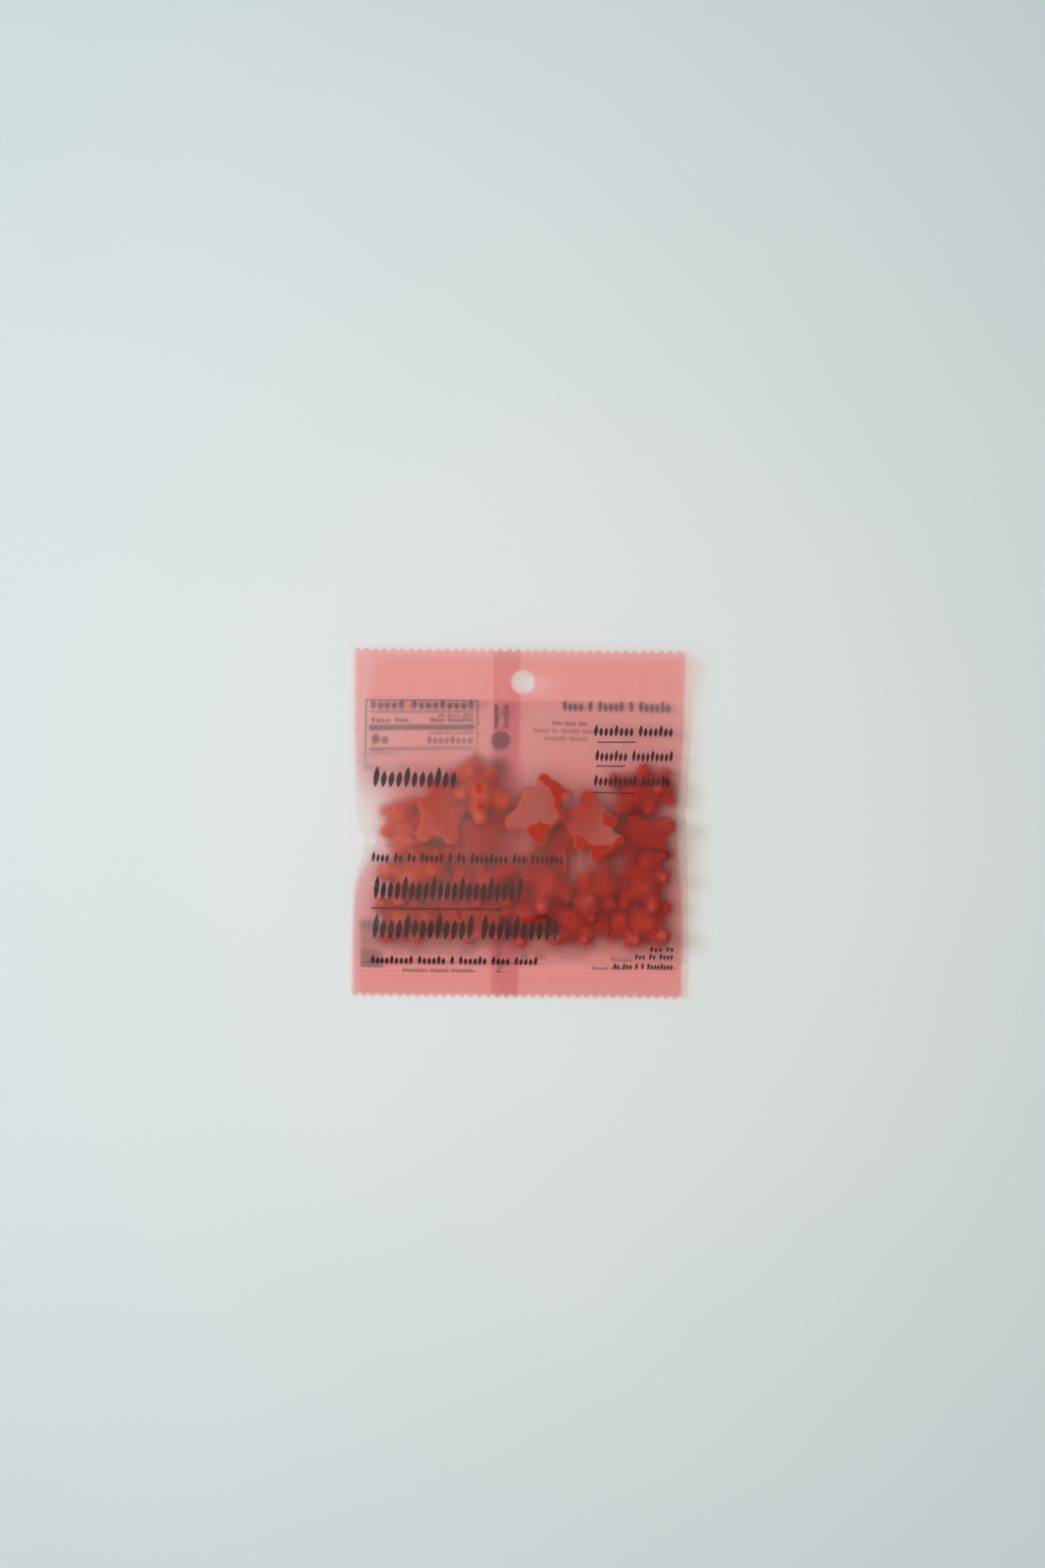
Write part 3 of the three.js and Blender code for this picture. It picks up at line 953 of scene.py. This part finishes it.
def haze(web):
    """How milky the film is: most where it stands off the bears on the left, least at the right."""
    within = smooth((HEADER_LINE - web.along) / 6) * smooth((web.along - FOOT_LINE) / 6)
    leftward = smooth((16 - web.x) / 44)
    headward = smooth((web.along - 12) / 20)
    clouds = CLOUD_HAZE * np.sin(web.x / 4.1 + 0.6 * np.sin(web.y / 9.0)) * smooth((web.along + 30) / 20)
    over_heap = LEFT_HAZE * leftward + HEAD_HAZE * headward + clouds
    return np.clip(BASE_HAZE + within * (over_heap - BASE_HAZE), 0, 1)


front_stored = {"ink_and_sheen": ink_and_sheen(front_web), "along": front_web.along}
front_stored["wet"] = wetness(front_web, front_skin)
front_stored["haze"] = haze(front_web)
front_stored["close"] = closeness(front_skin)
front_stored["creased"] = smooth(front_creases / CREASE_IN_FULL)
front_film = closed_sheet(
    "front_film",
    surface_points(front_web, front_skin + FILM),
    surface_points(front_web, front_skin),
    front_web.quads(),
    front_stored,
)
back_stored = {"ink_and_sheen": ink_and_sheen(back_web), "along": back_web.along, "across": back_web.across}
back_stored["haze"] = haze(back_web)
back_film = closed_sheet(
    "back_film",
    surface_points(back_web, back_skin + FILM),
    surface_points(back_web, back_skin),
    back_web.quads(),
    back_stored,
)
print("Film triangles:", [2 * len(sheet.data.polygons) for sheet in (front_film, back_film)])

# %% [markdown]
# The flap is seen only as a darker band through the bag. It takes the pattern and the shape of
# the back film above it, cut to its own width and thicker, because it is two films deep.


# %% Make the back flap
def back_flap():
    inside = (back_web.across > FLAP_LEFT) & (back_web.across < FLAP_RIGHT)
    quads = back_web.quads()
    quads = quads[inside.ravel()[quads].all(1)]
    top = back_skin - TABLE_GAP / 2
    under = np.maximum(top - FLAP_FILM, TABLE_GAP / 2)
    upper, lower = surface_points(back_web, top), surface_points(back_web, under)
    return closed_sheet("back_flap", upper, lower, quads, back_stored)


flap = back_flap()
print("The back flap has", 2 * len(flap.data.polygons), "triangles")

# %% [markdown]
# The print is dark ink that lies on the outside of the film. It is made of plain shapes alone:
# rows of small leaves in groups, rules, a frame, discs and stripes. Each mark is a thin flat
# body that follows the film under it, so it bends with every fold. A picture on the film would
# be quicker, but real shapes stay crisp at any distance.


# %% Marks of ink
INK_GAP = 0.01
INK_FILM = 0.02
INK_STEP = 0.4
LEAF_HALF_WIDTH = 0.36
GROUP_GAP = 0.8
TALL_LEAF = 1.3
LOWEST_INK = 0.004
FLAP_MARGIN = 0.8


def bar(share):
    return 1 + 0 * share


def leaf(share):
    return 0.08 + 0.92 * np.sin(np.pi * share) ** 0.8


def disc(share):
    return np.maximum(np.sqrt(np.clip(1 - (2 * share - 1) ** 2, 0, 1)), 0.05)


def mark(start, end, half_width, outline):
    """A grid of points from start to end, whose width follows an outline."""
    length = math.dist(start, end)
    share = np.linspace(0, 1, math.ceil(length / INK_STEP) + 2)[:, None]
    side = np.linspace(-1, 1, math.ceil(2 * half_width / INK_STEP) + 1)
    way = np.subtract(end, start) / length
    beside = half_width * outline(share) * side
    x = start[0] + way[0] * length * share + way[1] * beside
    y = start[1] + way[1] * length * share - way[0] * beside
    return x, y


def row_of_leaves(start, end, tall, groups, lean=0.0):
    """Leaf shapes in groups, spread evenly from start to end, every fourth a little taller."""
    slots = sum(groups) + GROUP_GAP * (len(groups) - 1)
    step = np.subtract(end, start) / slots
    up = np.array((-step[1], step[0])) / np.hypot(*step)
    up = up + lean * step / np.hypot(*step)
    marks, place = [], 0.5
    for group in groups:
        for number in range(group):
            foot = start + step * place - up * tall * 0.5
            head = foot + up * tall * (1.0 if number % 4 else TALL_LEAF)
            marks.append(mark(foot, head, LEAF_HALF_WIDTH * float(np.hypot(*step)), leaf))
            place += 1
        place += GROUP_GAP
    return marks


def frame_of_bars(left, foot, right, head, half_width):
    corners = [(left, foot), (right, foot), (right, head), (left, head), (left, foot)]
    return [mark(start, end, half_width, bar) for start, end in zip(corners, corners[1:])]


def height_at(web, skin, x, y):
    """The height of a sheet under or over some points of the table."""
    left, right = fold_x(y, LEFT), fold_x(y, RIGHT)
    column = np.clip((x - left) / (right - left), 0, 0.9999) * (len(web.share) - 1)
    row = np.clip(np.interp(y, web.rows, np.arange(len(web.rows))), 0, len(web.rows) - 1.001)
    low_column, low_row = column.astype(int), row.astype(int)
    over, up = column - low_column, row - low_row
    low = skin[low_row, low_column] * (1 - over) + skin[low_row, low_column + 1] * over
    high = skin[low_row + 1, low_column] * (1 - over) + skin[low_row + 1, low_column + 1] * over
    return low * (1 - up) + high * up


def ink_piece(name, marks, height_of):
    """All marks as one piece, each a thin body whose lower face has the given height."""
    places, quads, start = [], [], 0
    for x, y in marks:
        quads.append(grid_quads(start + np.arange(x.size).reshape(x.shape)))
        places.append(np.stack([x, y], -1).reshape(-1, 2))
        start += x.size
    places = np.concatenate(places)
    lower = np.column_stack([places, height_of(places[:, 0], places[:, 1])])
    return closed_sheet(name, lower + (0, 0, INK_FILM), lower, np.concatenate(quads))


def over_front(x, y):
    return height_at(front_web, front_skin, x, y) + FILM + INK_GAP


def under_back(x, y):
    at_flap = (x > FLAP_LEFT - FLAP_MARGIN) & (x < FLAP_RIGHT + FLAP_MARGIN)
    flap_below = np.where(at_flap, FLAP_FILM + TABLE_GAP / 2, 0)
    height = height_at(back_web, back_skin, x, y) - flap_below - INK_GAP - INK_FILM
    return np.maximum(height, LOWEST_INK)


print(f"Each mark is {INK_FILM} mm thick and {INK_GAP} mm off the film")

# %% [markdown]
# The front print lies on top of the film and is sharp. Every row and rule is given by where it
# starts and ends on the bag, in millimetres from the middle, as measured in the photograph.

# %% The front print
FRONT_ROWS = [
    {"start": (-53.1, 15.4), "end": (-22.7, 15.4), "tall": 5.6, "groups": (11,)},
    {"start": (25.3, 32.9), "end": (53.8, 32.9), "tall": 3.2, "groups": (8, 7)},
    {"start": (25.8, 24.0), "end": (53.8, 24.0), "tall": 3.2, "groups": (7, 9)},
    {"start": (25.3, 15.2), "end": (52.6, 15.2), "tall": 3.2, "groups": (9, 6)},
    {"start": (-53.2, -12.6), "end": (15.1, -12.6), "tall": 2.9, "groups": (4, 2, 2, 5, 1, 2, 8, 3, 7)},
    {"start": (-52.4, -24.0), "end": (0.8, -24.0), "tall": 6.6, "groups": (21,)},
    {"start": (-52.8, -37.7), "end": (13.9, -37.7), "tall": 6.8, "groups": (13, 10)},
    {"start": (-53.5, -49.4), "end": (6.4, -49.4), "tall": 2.6, "groups": (9, 6, 1, 6, 4, 5)},
    {"start": (45.9, -44.3), "end": (54.7, -44.3), "tall": 1.7, "groups": (3, 2)},
    {"start": (40.7, -47.2), "end": (54.7, -47.2), "tall": 1.9, "groups": (3, 2, 4)},
    {"start": (33.3, -51.0), "end": (54.7, -51.0), "tall": 1.9, "groups": (2, 3, 1, 1, 8)},
]
FRONT_RULES = [
    {"start": (26.7, 29.2), "end": (40.3, 29.4), "half_width": 0.22},
    {"start": (26.3, 20.7), "end": (36.5, 20.8), "half_width": 0.22},
    {"start": (25.3, 11.4), "end": (40.3, 11.2), "half_width": 0.22},
    {"start": (-53.1, -30.4), "end": (-6.9, -30.2), "half_width": 0.25},
]
FRONT_LEAN = 0.12
front_marks = [one for row in FRONT_ROWS for one in row_of_leaves(lean=FRONT_LEAN, **row)]
front_marks += [mark(outline=bar, **rule) for rule in FRONT_RULES]
front_print = ink_piece("front_print", front_marks, over_front)
print(f"{len(front_marks)} marks on the front, {2 * len(front_print.data.polygons)} triangles")

# %% [markdown]
# The back print lies under the back film. It is seen through the whole bag, which blurs it, and
# its ink is a lighter slate than that of the front, so it comes out soft and pale.

# %% The back print, seen through the bag
BACK_ROWS = [
    {"start": (-54.5, 41.6), "end": (-17.1, 41.6), "tall": 2.6, "groups": (5, 9)},
    {"start": (-30.0, 37.9), "end": (-17.5, 37.9), "tall": 0.9, "groups": (2, 4, 3)},
    {"start": (-54.0, 36.2), "end": (-40.5, 36.2), "tall": 1.5, "groups": (4, 3)},
    {"start": (-33.0, 36.2), "end": (-17.5, 36.2), "tall": 1.5, "groups": (4, 7)},
    {"start": (-33.0, 31.6), "end": (-17.5, 31.6), "tall": 0.9, "groups": (6, 3, 7)},
    {"start": (-54.0, 29.2), "end": (-47.0, 29.2), "tall": 3.0, "groups": (2,)},
    {"start": (-34.0, 28.8), "end": (-17.5, 28.8), "tall": 2.3, "groups": (8,)},
    {"start": (-54.0, 24.5), "end": (-43.5, 24.5), "tall": 0.9, "groups": (1, 5, 5)},
    {"start": (14.1, 41.4), "end": (52.9, 41.4), "tall": 3.3, "groups": (4, 1, 5, 1, 6)},
    {"start": (10.6, 35.1), "end": (23.2, 35.1), "tall": 1.4, "groups": (3, 4, 3)},
    {"start": (3.9, 32.3), "end": (26.0, 32.3), "tall": 1.4, "groups": (5, 2, 6, 4)},
    {"start": (7.8, 29.5), "end": (23.2, 29.5), "tall": 1.4, "groups": (6, 5)},
    {"start": (-5.7, 33.0), "end": (-5.7, 42.0), "tall": 2.1, "groups": (7,)},
    {"start": (-45.8, -43.3), "end": (-16.7, -43.3), "tall": 1.2, "groups": (6, 3, 8, 5)},
    {"start": (-45.8, -45.6), "end": (-16.7, -45.6), "tall": 1.2, "groups": (4, 7, 2, 8)},
    {"start": (-42.2, -52.9), "end": (-16.7, -52.9), "tall": 1.2, "groups": (7, 5, 6)},
    {"start": (-7.4, -53.4), "end": (-7.4, -41.0), "tall": 1.6, "groups": (5, 6)},
    {"start": (-0.1, -46.4), "end": (9.5, -46.4), "tall": 2.1, "groups": (2, 3)},
    {"start": (14.8, -46.4), "end": (22.5, -46.4), "tall": 1.2, "groups": (3, 4)},
    {"start": (25.6, -51.6), "end": (37.5, -51.6), "tall": 1.2, "groups": (5, 4)},
    {"start": (32.3, -47.5), "end": (40.3, -47.5), "tall": 1.2, "groups": (6,)},
]
BACK_RULES = [
    {"start": (-54.5, 39.4), "end": (-17.1, 39.4), "half_width": 0.16},
    {"start": (-54.5, 33.7), "end": (-17.1, 33.7), "half_width": 0.95},
    {"start": (-54.1, 26.1), "end": (-17.3, 26.1), "half_width": 0.45},
    {"start": (-9.3, 33.0), "end": (-9.3, 42.0), "half_width": 0.6},
]
BACK_FRAME = {"left": -55.7, "foot": 19.4, "right": -16.0, "head": 43.7, "half_width": 0.2}
BACK_DISCS = [(-7.6, 28.8), (-7.6, 19.4)]
DISC_RADIUS = 3.5
STRIPES = {"from": -35.6, "to": -51.4, "left": -57.0, "right": -49.2, "count": 15}


def stripes():
    draw = np.random.default_rng(5)
    places = np.linspace(STRIPES["from"], STRIPES["to"], STRIPES["count"])
    return [mark((STRIPES["left"], y), (STRIPES["right"], y), draw.uniform(0.15, 0.4), bar) for y in places]


back_marks = [one for row in BACK_ROWS for one in row_of_leaves(**row)]
back_marks += [mark(outline=bar, **rule) for rule in BACK_RULES]
back_marks += frame_of_bars(**BACK_FRAME)
back_marks += [mark((x, y - DISC_RADIUS), (x, y + DISC_RADIUS), DISC_RADIUS, disc) for x, y in BACK_DISCS]
back_marks += stripes()
back_print = ink_piece("back_print", back_marks, under_back)
print(f"{len(back_marks)} marks on the back, {2 * len(back_print.data.polygons)} triangles")

# %% [markdown]
# The film is a clear plastic with a matt outside and a see-through pink ink over most of it.
# A narrow margin along both side folds has no ink. Rough transmission gives the look that
# matters: a bear against the film is sharp, and one a few millimetres below it is a blur. Where
# a bear wets the film, the matt surface fills in and turns clear, so the bear shows dark. A
# milky share lifts the haze over the heap, and a thin coat catches the light on the creases.
# To the light that falls through it, and to every ray that has already been scattered, the film
# is a plain tinted pane. That keeps the render quick and the inside of the bag bright.

# %% Film finish
PINK_SEAL = (0.99, 0.807, 0.822, 1)
# Between the seals the pink is darker red and greyer: painted shade and haze of the bag's inside.
SHADED_WINDOW_PINK = (0.865, 0.89, 0.93, 1)
PINK_FLAP = (0.93, 0.85, 0.87, 1)
BARE = (0.98, 0.97, 0.97, 1)
# A painted dark line of shade along the flap's folded edge.
FOLD_LINE_SHADE = (0.66, 0.42, 0.45, 1)
FILM_SHADE = (0.995, 0.85, 0.84, 1)
FLAP_SHADE = (0.959, 0.87, 0.897, 1)
BARE_SHADE = (0.99, 0.97, 0.965, 1)
SEAL_FROST, HEAP_FROST, CLOSE_FROST = 0.37, 0.78, 0.48
CLEAR_SHARE, MILKY_SHARE, WET_SHARE = 1.0, 0.90, 0.99
SHEEN, WET_SHEEN = 0.12, 0.01
FILM_IOR, WET_IOR = 1.42, 1.01
COAT, CREASE_COAT = 0.08, 0.35
COAT_ROUGHNESS = 0.2
WET_EDGE = (0.47, 0.53)


def film_finish(name, shade, with_wet=False, with_fold_shade=False):
    """Frosted pink film. The front has wet parts and creases, the flap a painted line of shade along its
    fold.
    """
    finish = Finish(name)
    # The share of pink is the ink, thinned beside the left waist where sheen is painted in.
    pink_share = finish.stored("ink_and_sheen")
    along = finish.stored("along")
    sealed = finish.ramp(along, HEADER_LINE - 0.4, HEADER_LINE + 0.4)
    sealed = sealed + 1 - finish.ramp(along, FOOT_LINE - 0.4, FOOT_LINE + 0.4)
    # Painted shade and haze: the film over the bag's inside takes the darker, greyer pink.
    colour = finish.blend(pink_share, BARE, finish.blend(sealed, SHADED_WINDOW_PINK, PINK_SEAL))
    if with_fold_shade:
        # Painted shade: a darker line along the flap's fold.
        fold = finish.ramp(finish.stored("across"), FLAP_RIGHT - 0.7, FLAP_RIGHT - 0.4)
        colour = finish.blend(fold, PINK_FLAP, FOLD_LINE_SHADE)
    relief = finish.bump(finish.noise(0.9, 3.0), 0.02)
    over_heap = finish.ramp(along, 29.0, 20.0) * finish.ramp(along, FOOT_LINE, FOOT_LINE + 6.0)
    frost = over_heap * (HEAP_FROST - SEAL_FROST) + SEAL_FROST
    coat = COAT
    if with_wet:
        frost = frost + finish.stored("close") * (CLOSE_FROST - frost)
        coat = finish.stored("creased") * CREASE_COAT + COAT
    frosted = {"Base Color": colour, "Roughness": frost, "IOR": FILM_IOR, "Normal": relief}
    frosted |= {"Specular IOR Level": SHEEN, "Coat Weight": coat, "Coat Roughness": COAT_ROUGHNESS}
    clear_film = principled(finish, {**frosted, "Transmission Weight": CLEAR_SHARE})
    milky_film = principled(finish, {**frosted, "Transmission Weight": MILKY_SHARE})
    shader = finish.add("ShaderNodeMixShader", {}, {0: finish.stored("haze"), 1: clear_film, 2: milky_film})
    if with_wet:
        clear = {"Base Color": colour, "Roughness": 0.0, "IOR": WET_IOR}
        clear |= {"Transmission Weight": WET_SHARE, "Specular IOR Level": WET_SHEEN}
        wet = finish.ramp(finish.stored("wet"), *WET_EDGE)
        shader = finish.add("ShaderNodeMixShader", {}, {0: wet, 1: shader, 2: principled(finish, clear)})
    pink_light = finish.add("ShaderNodeBsdfTransparent", {}, {"Color": shade})
    bare_light = finish.add("ShaderNodeBsdfTransparent", {}, {"Color": BARE_SHADE})
    lit = finish.add("ShaderNodeMixShader", {}, {0: pink_share, 1: bare_light, 2: pink_light})
    for kind in ("Is Shadow Ray", "Is Diffuse Ray", "Is Glossy Ray"):
        path = finish.add("ShaderNodeLightPath", out=kind)
        shader = finish.add("ShaderNodeMixShader", {}, {0: path, 1: shader, 2: lit})
    return finish.done(shader)


front_film.data.materials.append(film_finish("front_film_finish", FILM_SHADE, with_wet=True))
back_film.data.materials.append(film_finish("back_film_finish", FILM_SHADE))
flap.data.materials.append(film_finish("flap_film_finish", FLAP_SHADE, with_fold_shade=True))
print("Film finishes are on")

# %% [markdown]
# The jelly is a deep, see-through red, and a few bears at the left are more orange. Light that
# scatters under the skin gives the glow of a thick piece of jelly, and slow noise makes it a
# little cloudy. The flat backs of the two bears on top are dusty, and so paler, wherever the
# film doesn't wet them.


# %% Gummy finish
DEEP_RED = (0.40, 0.027, 0.011, 1)
ORANGE_RED = (0.56, 0.080, 0.022, 1)
CLOUD_RED = (0.55, 0.06, 0.03, 1)
DUSTY_PINK = (0.455, 0.079, 0.048, 1)
GLOW_DEPTH = 7.0
DUST_ENDS, DUST_FADE = 0.44, 0.1


def dust_of_bears():
    """1 on a dusty flat back, 0 where the film wets it and everywhere else."""
    wet = height_at(front_web, front_stored["wet"], bear_points[:, 0], bear_points[:, 1])
    return bear_backs * (1 - smooth((wet - DUST_ENDS) / DUST_FADE))


dust = gummy_bears.data.attributes.new("dust", "FLOAT", "POINT")
dust.data.foreach_set("value", dust_of_bears().astype(np.float32))


def gummy_finish():
    finish = Finish("gummy_finish")
    cloud = finish.noise(2.2, 3.0)
    deep = finish.blend(finish.stored("warmth"), DEEP_RED, ORANGE_RED)
    colour = finish.blend(finish.ramp(cloud, 0.5, 0.8), deep, CLOUD_RED)
    colour = finish.blend(finish.stored("dust"), colour, DUSTY_PINK)
    sockets = {
        "Base Color": colour,
        "Roughness": 0.28,
        "IOR": 1.45,
        "Specular IOR Level": 0.05,
        "Subsurface Weight": 1.0,
        "Subsurface Radius": (1.0, 0.16, 0.08),
        "Subsurface Scale": GLOW_DEPTH * MM,
        "Normal": finish.bump(finish.noise(1.1, 2.0), 0.015),
    }
    return finish.done(principled(finish, sockets))


gummy_bears.data.materials.append(gummy_finish())
print("The bears have their finish")

# %% [markdown]
# Printing ink is thin and never quite even, so each of the two inks is a blend of a fuller and
# a thinner tone, with slow noise between them.


# %% Ink finish
def ink_finish(name, thin, full):
    finish = Finish(name)
    shade = finish.blend(finish.noise(3.0), full, thin)
    return finish.done(principled(finish, {"Base Color": shade, "Roughness": 0.5, "Specular IOR Level": 0.3}))


front_ink = ink_finish("dark_ink", (0.062, 0.018, 0.017, 1), (0.050, 0.013, 0.013, 1))
back_ink = ink_finish("slate_ink", (0.28, 0.34, 0.37, 1), (0.22, 0.28, 0.31, 1))
front_print.data.materials.append(front_ink)
back_print.data.materials.append(back_ink)
print("The ink has its finish")

# %% [markdown]
# Every piece rides the one body of the part and stands in the place of the imported solid, which is no longer
# shown.

# %% Ride, and what replaces the solid
DRESSED = [(front_film, "film"), (back_film, "film"), (flap, "film"), (gummy_bears, "gummy")]
DRESSED += [(front_print, "ink"), (back_print, "ink")]
for piece, slot_name in DRESSED:
    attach(piece, "root")
    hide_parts("gummy_bag")
print(f"{len(DRESSED)} pieces stand in for the packed solid")
